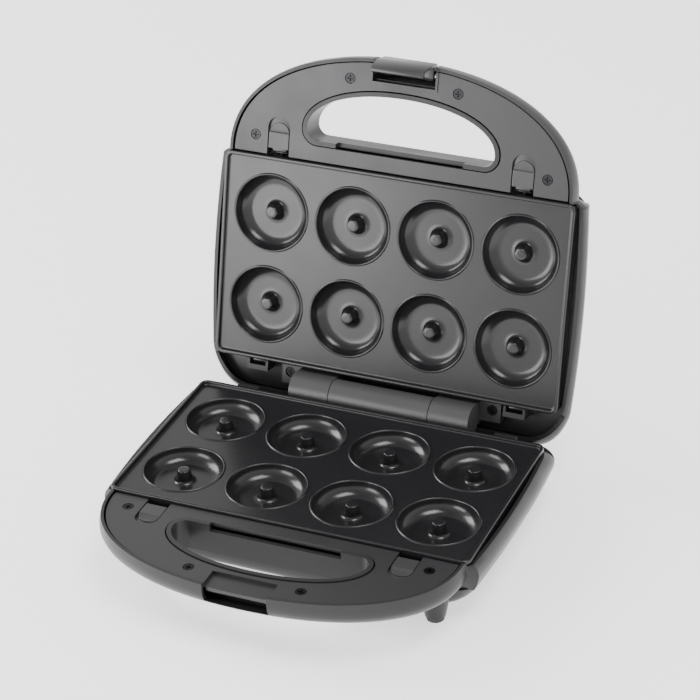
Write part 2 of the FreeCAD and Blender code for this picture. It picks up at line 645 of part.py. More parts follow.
# ---- heating --------------------------------------------------------------------
def bent_tube(points, radius, bend):
    """A round tube along straight runs joined by tangent arcs of radius bend."""
    edges = []
    start = points[0]
    for before, corner, after in zip(points, points[1:], points[2:]):
        back = (before - corner).normalize()
        ahead = (after - corner).normalize()
        half_angle = back.getAngle(ahead) / 2
        reach = bend / math.tan(half_angle)
        entry = corner + back * reach
        leave = corner + ahead * reach
        bisector = (back + ahead).normalize()
        middle = corner + bisector * (bend / math.sin(half_angle) - bend)
        edges.append(Part.LineSegment(start, entry).toShape())
        edges.append(Part.Arc(entry, middle, leave).toShape())
        start = leave
    edges.append(Part.LineSegment(start, points[-1]).toShape())
    path = Part.Wire(edges)
    direction = points[1] - points[0]
    circle = Part.Wire(Part.makeCircle(radius, points[0], direction))
    return path.makePipeShell([circle], True, False)


def heating_element():
    """A tube in a flat loop under the cavities, with both ends at the back."""
    loop = [(18, 56), (18, 29), (84, 29), (84, -29), (-84, -29), (-84, 29), (-18, 29), (-18, 56)]
    return bent_tube([vec(x, y, ELEMENT_W) for x, y in loop], ELEMENT_R, 12.0)


def element_clips():
    """Four clamps that stand on the shield and hold the tube."""
    clips = []
    for x in (-50.0, 50.0):
        for y in (-29.0, 29.0):
            clip = block(x - 3, x + 3, y - 6, y + 6, ELEMENT_W - 4.4, SHIELD_W - SHIELD_T)
            tube = cross_rod(x - 5, x + 5, y, ELEMENT_W, ELEMENT_R + 0.02)
            clips.append(clip.cut(tube))
    return clips


def heat_shield():
    """A shallow sheet pan under the element, open towards the plate."""
    pan = slab(rounded_rectangle(SHIELD_X, SHIELD_Y, 7.0), LEDGE_W + LEDGE_T, SHIELD_W)
    hollow = slab(rounded_rectangle(SHIELD_X - SHIELD_T, SHIELD_Y - SHIELD_T, 6.2), 5, SHIELD_W - SHIELD_T)
    pan = pan.cut(hollow)
    for x in (-18.0, 18.0):
        pan = pan.cut(rod(x, 53.0, SHIELD_W - 2, SHIELD_W + 1, 2.6))
    return pan


def thermostat():
    """A disc thermostat on the back of the shield, with two blade terminals."""
    disc = rod(0, 0, SHIELD_W, SHIELD_W + 5.5, 8.0)
    tabs = [block(x - 2.4, x + 2.4, -0.4, 0.4, SHIELD_W + 4, SHIELD_W + 8.0) for x in (-4.5, 4.5)]
    return fused([disc] + tabs)


def thermal_fuse():
    """A small cylinder in a saddle on the back of the shield."""
    body = cross_rod(34, 46, -20, SHIELD_W + 2.6, 2.2)
    leads = cross_rod(29, 51, -20, SHIELD_W + 2.6, 0.5)
    saddle = block(38, 42, -23, -17, SHIELD_W, SHIELD_W + 2.0)
    return fused([body, leads, saddle])


def foot(x, y):
    """A rubber pad with a plug that sits in the end of a leg."""
    top_w = FOOT_BOTTOM - PAD_T
    pad = Part.makeCone(6.0, 5.2, PAD_T, vec(x, y, top_w), vec(0, 0, 1))
    return pad.fuse(rod(x, y, top_w - PLUG_LENGTH, top_w, 4.0)).removeSplitter()


def cord_gland():
    """A flanged bush through the rear wall."""
    bush = Part.makeCylinder(GLAND_R, 12.0, vec(GLAND_X, 79.0, GLAND_W), vec(0, 1, 0))
    flange = Part.makeCylinder(GLAND_R + 1.3, 2.5, vec(GLAND_X, 88.5, GLAND_W), vec(0, 1, 0))
    bore = Part.makeCylinder(GLAND_BORE, 20.0, vec(GLAND_X, 75.0, GLAND_W), vec(0, 1, 0))
    return bush.fuse(flange).cut(bore).removeSplitter()


def terminal_block():
    return block(56.0, 78.0, 54.0, 66.0, 23.5, LOWER.depth - WALL - 0.2)


def lens(x):
    """A domed lens with a sleeve, open at its inner end for the lamp."""
    top = UPPER.depth
    sleeve = rod(x, LAMP_Y, top - 6.0, top + 0.2, LENS_R)
    cap = rod(x, LAMP_Y, top + 0.02, top + 1.0, LENS_R + 0.9)
    return sleeve.fuse(cap).cut(rod(x, LAMP_Y, top - 7.0, top - 1.0, LENS_R - 0.6)).removeSplitter()


def lamp(x):
    return rod(x, LAMP_Y, UPPER.depth - 10.0, UPPER.depth - 1.4, LENS_R - 0.7)


def lead(points):
    return bent_tube([vec(*point) for point in points], WIRE_R, 6.0)


def base_wiring():
    """Gland to terminal block, block to thermostat, and up into the hinge barrel."""
    supply = lead([(GLAND_X, 78.0, GLAND_W), (GLAND_X, 66.4, GLAND_W)])
    inner = lead([(60.0, 53.6, 27.0), (60.0, 40.0, 27.0), (12.0, 40.0, 27.0), (12.0, 10.0, 28.0)])
    rise = lead([(66.0, 53.6, 27.0), (66.0, 46.0, 27.0), (30.0, 46.0, 27.0), (30.0, 70.0, 27.0),
                 (HINGE_X + WIRE_RISE_X, HINGE_Y, 22.0), (HINGE_X + WIRE_RISE_X, HINGE_Y, -HINGE_Z),
                 (HINGE_X + KNUCKLE_START - 0.1, HINGE_Y, -HINGE_Z)])
    return [supply, inner, rise]


def lid_wiring():
    """From the hinge axis up the right knuckle's neck to the lid's thermostat."""
    axis_w = HINGE_Z - FIELD_GAP
    rise_x = HINGE_X + LID_WIRE_X
    return [lead([(HINGE_X + KNUCKLE_START + 0.1, HINGE_Y, axis_w), (rise_x, HINGE_Y, axis_w),
                  (rise_x, HINGE_Y, 28.0), (rise_x, 40.0, 28.0), (12.0, 12.0, 28.0)])]


def place_lower(shape):
    """Turns a shape of the half frame over into the base: z = -w."""
    return shape.mirror(vec(0, 0, 0), vec(0, 0, 1))


def place_upper(shape):
    """Closes the lid's half onto the base, then opens it about the hinge axis."""
    lid = shape.copy()
    lid.translate(vec(0, 0, FIELD_GAP))
    lid.rotate(vec(0, HINGE_Y, HINGE_Z), vec(1, 0, 0), -OPEN_DEG)
    return lid


# ---- all the nodes --------------------------------------------------------------
nodes = {}


def add_lower(name, *shapes):
    nodes[name] = [place_lower(shape) for shape in shapes]


def add_upper(name, *shapes):
    nodes[name] = [place_upper(shape) for shape in shapes]


add_lower("lower_housing", lower_housing())
add_upper("upper_housing", upper_housing())
for half, add in ((LOWER, add_lower), (UPPER, add_upper)):
    add(half.name + "_inner_frame", inner_frame(half))
    add(half.name + "_cooking_plate", cooking_plate())
    add(half.name + "_plate_brackets", *plate_brackets())
    for side, sign in (("left", -1), ("right", 1)):
        add(half.name + "_release_button_" + side, release_button(sign * BUTTON_X))
        add(half.name + "_button_spring_" + side, button_spring(sign * BUTTON_X))
    add(half.name + "_face_screws", *[screw(x, y, FACE_W + 0.2, 12.0) for x, y in FACE_SCREWS])
    add(half.name + "_heating_element", heating_element())
    add(half.name + "_element_clips", *element_clips())
    add(half.name + "_heat_shield", heat_shield())
    add(half.name + "_thermostat", thermostat())

add_lower("housing_screws", *[screw(x, y, top_w + 15.6, 17.0, -1) for x, y, top_w in body_posts(LOWER)])
add_lower("thermal_fuse", thermal_fuse())
add_lower("rubber_feet", *[foot(x, y) for x, y in FEET])
add_lower("cord_gland", cord_gland())
add_lower("terminal_block", terminal_block())
add_lower("base_wiring", *base_wiring())
add_upper("lid_wiring", *lid_wiring())
add_lower("hinge_centre_barrel", centre_barrel())
add_lower("barrel_screws", *[screw(HINGE_X + x, HINGE_Y - 1, 16.2, 8.6, -1) for x in BARREL_SCREWS])
for side, sign in (("left", -1), ("right", 1)):
    add_lower("hinge_pin_" + side, hinge_pin(sign, -HINGE_Z))
    add_upper("hinge_knuckle_" + side, hinge_knuckle(sign))
add_upper("knuckle_screws", *[screw(x, KNUCKLE_SCREW_Y, 6.3, 18.0) for x in knuckle_screw_places()])
add_upper("latch_clip", latch_clip())
add_upper("latch_pin", cross_rod(-22.0, 22.0, PIVOT_Y, PIVOT_W, PIN_R))
add_upper("indicator_lenses", *[lens(x) for x in LAMPS_X])
add_upper("indicator_lamps", *[lamp(x) for x in LAMPS_X])

os.makedirs("parts", exist_ok=True)
for name, shapes in nodes.items():
    for shape in shapes:
        shape.translate(ORIGIN_SHIFT)
    body = shapes[0] if len(shapes) == 1 else Part.makeCompound(shapes)
    body.exportStep("parts/" + name + ".step")
    print(name, body.isValid(), len(body.Solids), round(body.Volume, 1))
whole = Part.makeCompound([shape for shapes in nodes.values() for shape in shapes])
print(len(nodes), "nodes", whole.BoundBox)
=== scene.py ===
import json
import math

import bmesh
import bpy
import numpy as np
from mathutils import Matrix, Vector


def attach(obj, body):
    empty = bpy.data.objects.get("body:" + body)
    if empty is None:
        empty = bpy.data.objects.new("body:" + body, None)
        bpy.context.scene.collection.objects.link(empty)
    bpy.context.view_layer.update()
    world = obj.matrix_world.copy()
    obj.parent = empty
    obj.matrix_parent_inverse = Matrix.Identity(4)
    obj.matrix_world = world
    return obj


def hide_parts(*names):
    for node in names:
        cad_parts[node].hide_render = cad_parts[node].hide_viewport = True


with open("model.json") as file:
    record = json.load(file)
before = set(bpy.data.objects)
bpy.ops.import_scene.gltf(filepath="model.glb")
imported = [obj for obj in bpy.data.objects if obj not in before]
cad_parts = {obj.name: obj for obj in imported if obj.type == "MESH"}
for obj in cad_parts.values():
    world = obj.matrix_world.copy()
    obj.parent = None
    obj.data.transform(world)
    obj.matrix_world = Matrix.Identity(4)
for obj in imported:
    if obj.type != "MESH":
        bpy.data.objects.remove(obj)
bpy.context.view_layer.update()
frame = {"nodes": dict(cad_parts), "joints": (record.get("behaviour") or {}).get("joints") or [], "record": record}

nodes = frame["nodes"]
joints = {joint["name"]: joint for joint in frame["joints"]}

# ---------------------------------------------------------------------------------
# Housings. Each half's outer shell is moulded in black satin plastic: a deep body with
# rounded sides, its front drawn out into half of the handle, with a window through it.
# ---------------------------------------------------------------------------------
HOUSING_BLACK = (0.020, 0.020, 0.021)
HINGE_BEHIND_CENTRE = 77.5    # mm, hinge axis behind the middle of the plates
LID_FULLNESS = 2.8            # mm
FULL_FROM = 74.0              # mm behind the middle of the plates
FULL_OVER = 12.0
BROAD_SCALE = 45.0            # patches per metre where the roughness wanders

HINGE = [metres * 1000 for metres in joints["lid_hinge"]["pos_m"]]
OPEN_ANGLE = math.radians(-joints["lid_hinge"]["range_deg"][0])


def finish(name, colour, roughness, grain=0.9, depth=0.004, wander=0.04, metallic=0.0, gloss=0.5):
    """A procedural surface: noise of the grain's size in mm gives a bump of that depth in mm, and a broad
    noise lets the roughness wander each way. Gloss is the shader's specular level, 0.5 for plain plastic."""
    material = bpy.data.materials.new(name)
    material.use_nodes = True
    tree = material.node_tree
    shader = tree.nodes["Principled BSDF"]
    shader.inputs["Base Color"].default_value = (*colour, 1.0)
    shader.inputs["Metallic"].default_value = metallic
    shader.inputs["Specular IOR Level"].default_value = gloss
    place = tree.nodes.new("ShaderNodeTexCoord")
    fine = tree.nodes.new("ShaderNodeTexNoise")
    fine.inputs["Scale"].default_value = 1000.0 / grain
    fine.inputs["Detail"].default_value = 1.0
    bump = tree.nodes.new("ShaderNodeBump")
    bump.inputs["Distance"].default_value = depth / 1000.0
    broad = tree.nodes.new("ShaderNodeTexNoise")
    broad.inputs["Scale"].default_value = BROAD_SCALE
    spread = tree.nodes.new("ShaderNodeMapRange")
    spread.inputs["From Min"].default_value = 0.3
    spread.inputs["From Max"].default_value = 0.7
    spread.inputs["To Min"].default_value = roughness - wander
    spread.inputs["To Max"].default_value = roughness + wander
    tree.links.new(place.outputs["Object"], fine.inputs["Vector"])
    tree.links.new(place.outputs["Object"], broad.inputs["Vector"])
    tree.links.new(fine.outputs["Fac"], bump.inputs["Height"])
    tree.links.new(bump.outputs["Normal"], shader.inputs["Normal"])
    tree.links.new(broad.outputs["Fac"], spread.inputs["Value"])
    tree.links.new(spread.outputs["Result"], shader.inputs["Roughness"])
    return material


def coat_with(piece, material):
    """The piece shows this material alone."""
    piece.data.materials.clear()
    piece.data.materials.append(material)


def filled_rear(points):
    """The lid shell's rear edge pushed out to close the gap to the base: each point moves along the lid, away
    from the handle, by LID_FULLNESS times the clipped straight rise from FULL_FROM over FULL_OVER."""
    along = np.array([0.0, math.cos(OPEN_ANGLE), -math.sin(OPEN_ANGLE)])
    place = HINGE_BEHIND_CENTRE + (points * 1000 - HINGE) @ along
    rise = np.clip((place - FULL_FROM) / FULL_OVER, 0, 1)
    return points + (LID_FULLNESS / 1000 * rise)[:, None] * along


def moulded_from(node, name, body, material, sharp=32.0, reshape=np.asarray):
    """The CAD solid's own surface as a new piece: equal corners merged, so that curved walls shade smoothly
    and only edges over the sharp angle stay crisp."""
    source = nodes[node].data
    places = np.empty(len(source.vertices) * 3, np.float32)
    source.vertices.foreach_get("co", places)
    corners = np.empty(len(source.loops), np.int32)
    source.loops.foreach_get("vertex_index", corners)
    keys = np.round(places.reshape(-1, 3).astype(float) * 1e7).astype(np.int64)
    unique, index = np.unique(keys, axis=0, return_inverse=True)
    triangles = index.reshape(-1)[corners].reshape(-1, 3)
    whole = (triangles != np.roll(triangles, 1, axis=1)).all(1)
    mesh = bpy.data.meshes.new(name)
    mesh.from_pydata(reshape(unique * 1e-7).tolist(), [], triangles[whole].tolist())
    mesh.shade_smooth()
    mesh.set_sharp_from_angle(angle=math.radians(sharp))
    piece = bpy.data.objects.new(name, mesh)
    bpy.context.scene.collection.objects.link(piece)
    weighted = piece.modifiers.new("normals", "WEIGHTED_NORMAL")
    weighted.keep_sharp = True
    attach(piece, body)
    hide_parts(node)
    coat_with(piece, material)


housing_black = finish("housing_satin_black", HOUSING_BLACK, 0.33, gloss=0.32)
moulded_from("lower_housing", "housing_lower", "base", housing_black)
moulded_from("upper_housing", "housing_upper", "lid", housing_black, reshape=filled_rear)


# ---------------------------------------------------------------------------------
# Inner frames. The panel round each plate and over the handle, moulded in satin
# plastic; it snaps into the housing and is held by four screws.
# ---------------------------------------------------------------------------------
FRAME_BLACK = (0.020, 0.020, 0.021)

frame_black = finish("frame_satin_black", FRAME_BLACK, 0.34)
for half, body in (("lower", "base"), ("upper", "lid")):
    moulded_from(half + "_inner_frame", "frame_" + half, body, frame_black)
    moulded_from(half + "_plate_brackets", "brackets_" + half, body, frame_black)


# ---------------------------------------------------------------------------------
# Cooking plates. Each is one aluminium casting coated with satin non-stick: a flat
# field, a raised rim with a skirt, and eight ring cavities, each round a peg. It drops
# into its half, where two rear lugs and two front lugs hold it.
# ---------------------------------------------------------------------------------
HINGE_OVER_FIELD = 0.4        # mm, hinge axis above the base's cooking field
FIELD_GAP = 6.0               # mm between the two fields when the lid is shut
CAVITY_PITCH = (54.0, 58.6)
PLATE_HALF = (113.0, 65.0)
PLATE_CORNER = 5.0
RIM_WIDTH = 2.2
RIM_HEIGHT = 2.4
SKIRT_DEPTH = 8.0
CASTING = 2.0
REAR_LUG_X = 85.0
FRONT_LUG_X = 78.75
FIELD_EDGE = 3.0              # the flat field ends this far inside the plate's outer face
SIDE_STEPS = 36               # mesh steps along one side of a cavity's square
CORNER_CROWDING = 1.6
NONSTICK = (0.011, 0.011, 0.012)
NONSTICK_ROUGHNESS = 0.23

CENTRE_Y = HINGE[1] - HINGE_BEHIND_CENTRE
FIELD_Z = HINGE[2] - HINGE_OVER_FIELD


def in_base(points):
    """Places (x, y, depth) of a half, in mm, in the base, whose z is the field's height less the depth. In
    metres."""
    p = np.asarray(points, float)
    return np.stack([p[..., 0], p[..., 1] + CENTRE_Y, FIELD_Z - p[..., 2]], -1) * 0.001


def in_lid(points):
    """Places (x, y, depth) of a half in the open lid: above the field by gap and depth, then turned back
    about the hinge axis by the opening angle. In metres."""
    p = np.asarray(points, float)
    y = p[..., 1] - HINGE_BEHIND_CENTRE
    z = p[..., 2] + FIELD_GAP - HINGE_OVER_FIELD
    c, s = math.cos(OPEN_ANGLE), math.sin(OPEN_ANGLE)
    return np.stack([p[..., 0], HINGE[1] + y * c + z * s, HINGE[2] + z * c - y * s], -1) * 0.001


def sweep(rows):
    """Quads between neighbouring rows of a grid (rows, columns, 3), the last column joined to the first."""
    rows = np.asarray(rows, float)
    index = np.arange(rows.shape[0] * rows.shape[1]).reshape(rows.shape[:2])
    after = np.roll(index, -1, axis=1)
    quads = np.stack([index[:-1], after[:-1], after[1:], index[1:]], -1).reshape(-1, 4)
    return rows.reshape(-1, 3), quads


def make_piece(name, surfaces, place, body, sharp=38.0):
    """One mesh from several (points, faces) in a half's mm: placed, doubles merged, faces turned outwards,
    smooth but for edges over the sharp angle. It rides on the body."""
    points, faces, count = [], [], 0
    for verts, quads in surfaces:
        points.append(verts)
        faces.extend((np.asarray(quads) + count).tolist())
        count += len(verts)
    mesh = bpy.data.meshes.new(name)
    mesh.from_pydata(place(np.concatenate(points)).tolist(), [], faces)
    joined = bmesh.new()
    joined.from_mesh(mesh)
    bmesh.ops.remove_doubles(joined, verts=joined.verts, dist=2e-6)
    bmesh.ops.recalc_face_normals(joined, faces=joined.faces)
    joined.to_mesh(mesh)
    joined.free()
    mesh.shade_smooth()
    mesh.set_sharp_from_angle(angle=math.radians(sharp))
    piece = bpy.data.objects.new(name, mesh)
    bpy.context.scene.collection.objects.link(piece)
    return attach(piece, body)


def arc(start, through, end, steps):
    """Points at equal angles on the circle through three points, whose centre is where the bisectors of two
    of its chords meet."""
    (ax, ay), (bx, by), (cx, cy) = start, through, end
    a2, b2, c2 = ax * ax + ay * ay, bx * bx + by * by, cx * cx + cy * cy
    double_area = 2 * (ax * (by - cy) + bx * (cy - ay) + cx * (ay - by))
    x = (a2 * (by - cy) + b2 * (cy - ay) + c2 * (ay - by)) / double_area
    y = (a2 * (cx - bx) + b2 * (ax - cx) + c2 * (bx - ax)) / double_area
    turn = np.unwrap(np.arctan2([ay - y, by - y, cy - y], [ax - x, bx - x, cx - x]))
    angle = np.linspace(turn[0], turn[2], steps)
    radius = math.hypot(ax - x, ay - y)
    return np.stack([x + radius * np.cos(angle), y + radius * np.sin(angle)], 1)


def cavity_profile():
    """(radius, depth) from the middle of the peg over its crown, down into the ring and out over the bead."""
    crown = arc((3.1, 0.0), (3.6, 0.23), (3.8, 0.8), 5)
    root = arc((4.7, 5.2), (5.4, 7.2), (7.0, 8.0), 8)
    floor = [(9.0, 8.0), (11.5, 8.0), (14.0, 8.0)]
    wall = arc((16.0, 8.0), (21.3, 5.6), (23.3, 0.3), 20)
    bead = arc((23.5, -0.35), (24.1, -0.7), (24.7, -0.35), 7)
    middle, field = [(0.0, 0.0), (1.6, 0.0)], [(24.95, 0.0), (25.4, 0.0)]
    return np.concatenate([middle, crown, root, floor, wall, bead, field])


def underside_profile():
    """(radius, depth) of the casting's underside, from the middle of the cavity's bulge out to the field."""
    bulge = arc((16.5, 10.0), (22.6, 7.2), (25.0, 2.0), 9)
    return np.concatenate([[(0.0, 10.0), (8.0, 10.0)], bulge, [(25.6, 2.0)]])


def cell_outline(column, row):
    """The square of one cavity inside the field's edge, anticlockwise: straight sides, crowded towards a
    corner of the plate and rounded off there. The cell's middle comes with it."""
    half = np.array(PLATE_HALF) - FIELD_EDGE
    left = -half[0] if column == 0 else (column - 2) * CAVITY_PITCH[0]
    right = half[0] if column == 3 else (column - 1) * CAVITY_PITCH[0]
    front, back = (-half[1], 0.0) if row == 0 else (0.0, half[1])
    t = np.arange(SIDE_STEPS) / SIDE_STEPS
    to_start, to_end = t ** CORNER_CROWDING, 1 - (1 - t) ** CORNER_CROWDING
    first, last, low, high = column == 0, column == 3, row == 0, row == 1
    bottom = to_start if low and first else to_end if low and last else t
    east = to_start if last and low else to_end if last and high else t
    top = to_start if high and last else to_end if high and first else t
    west = to_start if first and high else to_end if first and low else t
    one = np.ones(SIDE_STEPS)
    outline = np.concatenate([
        np.stack([left + (right - left) * bottom, front * one], 1),
        np.stack([right * one, front + (back - front) * east], 1),
        np.stack([right - (right - left) * top, back * one], 1),
        np.stack([left * one, back - (back - front) * west], 1),
    ])
    radius = PLATE_CORNER - FIELD_EDGE
    over = np.abs(outline) - (half - radius)
    corner = (over > 0).all(1)
    turn = np.pi / 4 * np.clip(over.min(1) / radius, 0, 1)
    along_x = over[:, 0] >= over[:, 1]
    arc_x = np.where(along_x, np.cos(turn), np.sin(turn))
    arc_y = np.where(along_x, np.sin(turn), np.cos(turn))
    rounded = np.sign(outline) * (half - radius + radius * np.stack([arc_x, arc_y], 1))
    middle = np.array([(column - 1.5) * CAVITY_PITCH[0], (row - 0.5) * CAVITY_PITCH[1]])
    return np.where(corner[:, None], rounded, outline), middle


def outward(points):
    """At each point on the field's edge, the unit vector away from its nearest point in the rectangle of the
    corner circles' middles; zero for points inside the field."""
    radius = PLATE_CORNER - FIELD_EDGE
    core = np.array(PLATE_HALF) - PLATE_CORNER
    away = points - np.clip(points, -core, core)
    reach = np.linalg.norm(away, axis=1, keepdims=True)
    return np.where(reach > radius - 1e-4, away / np.maximum(reach, 1e-9), 0.0)


def cell_surface(outline, middle, profile, depth):
    """The cavity's profile turned about the cell's middle, then four rows that spread from its last circle
    to the outline, which lies at the given depth."""
    ray = outline - middle
    ray = ray / np.linalg.norm(ray, axis=1, keepdims=True)
    turned = middle + profile[:, :1, None] * ray[None]
    turned = np.concatenate([turned, np.repeat(profile[:, 1:, None], len(ray), 1)], -1)
    spread = np.array([0.12, 0.5, 0.96, 1.0])[:, None, None]
    outer = turned[-1, :, :2] * (1 - spread) + outline * spread
    outer = np.concatenate([outer, np.full((4, len(ray), 1), depth)], -1)
    return sweep(np.concatenate([turned, outer]))


def rim_profile():
    """(inset from the plate's outer face, depth) from the field over the rim, down the outer face and back
    up inside the skirt."""
    foot = arc((FIELD_EDGE, 0.0), (RIM_WIDTH + 0.22, -0.22), (RIM_WIDTH, -0.8), 5)
    inner = arc((RIM_WIDTH, 0.6 - RIM_HEIGHT), (RIM_WIDTH - 0.18, 0.18 - RIM_HEIGHT),
                (RIM_WIDTH - 0.6, -RIM_HEIGHT), 5)
    outer = arc((0.7, -RIM_HEIGHT), (0.2, 0.2 - RIM_HEIGHT), (0.0, 0.7 - RIM_HEIGHT), 5)
    skirt = [(0.0, 3.0), (0.0, SKIRT_DEPTH - 0.5), (0.5, SKIRT_DEPTH), (CASTING - 0.4, SKIRT_DEPTH)]
    inside = [(CASTING, SKIRT_DEPTH - 0.4), (CASTING, 2.0)]
    return np.concatenate([foot, inner, outer, skirt, inside])


def plate_rim(edge, normal):
    """The rim's profile carried along the field's edge: each point moves out along the edge's normal."""
    profile = rim_profile()
    flat = edge[None] + normal[None] * (FIELD_EDGE - profile[:, 0])[:, None, None]
    return sweep(np.concatenate([flat, np.repeat(profile[:, 1:, None], len(edge), 1)], -1))


def rod(start, end, radius, around=24, soft=0.3):
    """A round bar between two points of a half: circles about its axis, its ends rounded and closed."""
    start, end = np.array(start, float), np.array(end, float)
    axis = (end - start) / np.linalg.norm(end - start)
    side = np.cross(axis, [0.3, 0.5, 0.81])
    side /= np.linalg.norm(side)
    other = np.cross(axis, side)
    angle = np.arange(around) * 2 * np.pi / around
    ring = np.cos(angle)[:, None] * side + np.sin(angle)[:, None] * other
    length = np.linalg.norm(end - start)
    along = np.array([0, 0, 0.3, 1, 1, 0.3, 0, 0]) * soft
    along[4:] = length - along[4:]
    rise = np.array([radius - soft, radius - 0.3 * soft, radius])
    reach = np.concatenate([[0], rise, rise[::-1], [0]])
    return sweep(start + along[:, None, None] * axis + reach[:, None, None] * ring)


def cooking_plate(name, node, place, body):
    """Eight cells above, eight below, the rim between them, and the lugs that hold the plate."""
    surfaces, edge = [], []
    for column in range(4):
        for row in range(2):
            outline, middle = cell_outline(column, row)
            normal = outward(outline)
            surfaces.append(cell_surface(outline, middle, cavity_profile(), 0.0))
            inside = outline + normal * (FIELD_EDGE - CASTING)
            surfaces.append(cell_surface(inside, middle, underside_profile(), 2.0))
            edge.append(outline[np.linalg.norm(normal, axis=1) > 0.5])
    edge = np.unique(np.round(np.concatenate(edge), 6), axis=0)
    edge = edge[np.argsort(np.arctan2(edge[:, 1] / PLATE_HALF[1], edge[:, 0] / PLATE_HALF[0]))]
    surfaces.append(plate_rim(edge, outward(edge)))
    for side in (-1, 1):
        rear, front = side * REAR_LUG_X, side * FRONT_LUG_X
        surfaces.append(rod((rear - side * 5, 67.5, 5), (rear + side * 5, 67.5, 5), 1.8))
        surfaces.append(rod((rear, 64.5, 5), (rear, 67.5, 5), 1.7))
        surfaces.append(rod((front - 4.4, -66.6, 5.4), (front + 4.4, -66.6, 5.4), 1.1, 16))
        surfaces.append(rod((front, -64.5, 5.4), (front, -66.6, 5.4), 1.0, 16))
    plate = make_piece(name, surfaces, place, body, 45.0)
    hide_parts(node)
    nonstick = finish(name + "_nonstick", NONSTICK, NONSTICK_ROUGHNESS, grain=0.5, depth=0.002, wander=0.02)
    coat_with(plate, nonstick)


cooking_plate("plate_lower", "lower_cooking_plate", in_base, "lower_plate")
cooking_plate("plate_upper", "upper_cooking_plate", in_lid, "upper_plate")


# ---------------------------------------------------------------------------------
# Plate release buttons. A domed sliding button with a finger scoop at each front
# corner of both plates, moulded in satin plastic and pushed back by a wire spring.
# ---------------------------------------------------------------------------------
BUTTON_GREY = (0.030, 0.030, 0.031)
BUTTON_X = FRONT_LUG_X
BUTTON_HALF = 6.85
BUTTON_TOP = -0.3             # depths below the field
BUTTON_FOOT = 6.0
BUTTON_REAR = -70.0
BUTTON_EDGE = 0.5
DOME_Y = -79.15               # where the domed end begins
SCOOP_RADIUS = 30.0
SCOOP_BACK = 6.0              # the scoop's axis is this far in front of the dome's middle
SCOOP_FLOOR = 0.6
FLANGE_HALF, FLANGE_FRONT, FLANGE_TOP = 8.3, -86.0, 2.65
TONGUE_HALF, TONGUE_END, TONGUE_TOP, TONGUE_FOOT = 4.5, -68.2, 1.6, 4.2
SHELF_HALF, SHELF_FRONT, SHELF_TOP, SHELF_FOOT = 7.1, -91.9, 1.15, 1.95


def prism(outline, low, high, axis, soft=0.3):
    """A closed bar: the outline (u, v) moved from low to high along the axis, its two ends rounded by soft.
    Each end ring is the outline set in along its own normals, and is filled by one face."""
    outline = np.asarray(outline, float)
    ahead, behind = np.roll(outline, -1, axis=0), np.roll(outline, 1, axis=0)
    first, second = outline - behind, ahead - outline
    lengths = np.linalg.norm(first, axis=1)[:, None], np.linalg.norm(second, axis=1)[:, None]
    normal = first / lengths[0] + second / lengths[1]
    normal = np.stack([normal[:, 1], -normal[:, 0]], 1) / np.linalg.norm(normal, axis=1)[:, None]
    turning = np.sign(np.sum(outline[:, 0] * ahead[:, 1] - outline[:, 1] * ahead[:, 0]))
    along = np.array([0.0, 0.3, 1.0]) * soft
    inset = np.array([1.0, 0.3, 0.0]) * soft
    level = np.concatenate([low + along, high - along[::-1]])
    inset = np.concatenate([inset, inset[::-1]])
    rings = outline[None] - turning * normal[None] * inset[:, None, None]
    rings = np.insert(rings, axis, level[:, None], axis=2)
    count = np.arange(len(outline))[None]
    return [sweep(rings), (rings[0], count), (rings[-1], count)]


def block(low, high, soft=0.3):
    """A box between two corners of a half, as a prism along x."""
    sides = [(low[1], low[2]), (high[1], low[2]), (high[1], high[2]), (low[1], high[2])]
    return prism(sides, low[0], high[0], 0, soft)


def button_top(middle):
    """Cross-sections carried towards the plate: the half width follows the dome's circle, then stays; the
    top dips along the scoop's cylinder in front of the dome's middle; the edges fall off on a small arc."""
    turn = np.linspace(0.06, np.pi / 2, 22)
    place = np.concatenate([DOME_Y - BUTTON_HALF * np.cos(turn), [DOME_Y + 0.05, DOME_Y + 2.0, BUTTON_REAR]])
    half = np.concatenate([BUTTON_HALF * np.sin(turn), [BUTTON_HALF] * 3])
    soft = np.minimum(BUTTON_EDGE, half * 0.5)
    edge = 0.04 * np.arange(4)
    across = np.concatenate([edge - 1, np.linspace(-0.8, 0.8, 9), 1 - edge[::-1]])
    x = half[:, None] * across[None]
    fall = np.clip((np.abs(x) - (half - soft)[:, None]) / soft[:, None], 0, 1)
    dip = SCOOP_FLOOR - SCOOP_RADIUS + np.sqrt(SCOOP_RADIUS ** 2 - (place - DOME_Y + SCOOP_BACK) ** 2)
    crown = np.where(place < DOME_Y - 0.9, np.maximum(dip, BUTTON_TOP), BUTTON_TOP)
    top = crown[:, None] + soft[:, None] * (1 - np.sqrt(1 - fall ** 2))
    foot = np.full((len(place), 1), BUTTON_FOOT)
    x = np.concatenate([x[:, :1], x, x[:, -1:]], 1)
    top = np.concatenate([foot, top, foot], 1)
    rings = np.stack([x + middle, np.repeat(place[:, None], x.shape[1], 1), top], -1)
    count = np.arange(rings.shape[1])[None]
    return [sweep(rings), (rings[0], count), (rings[-1], count)]


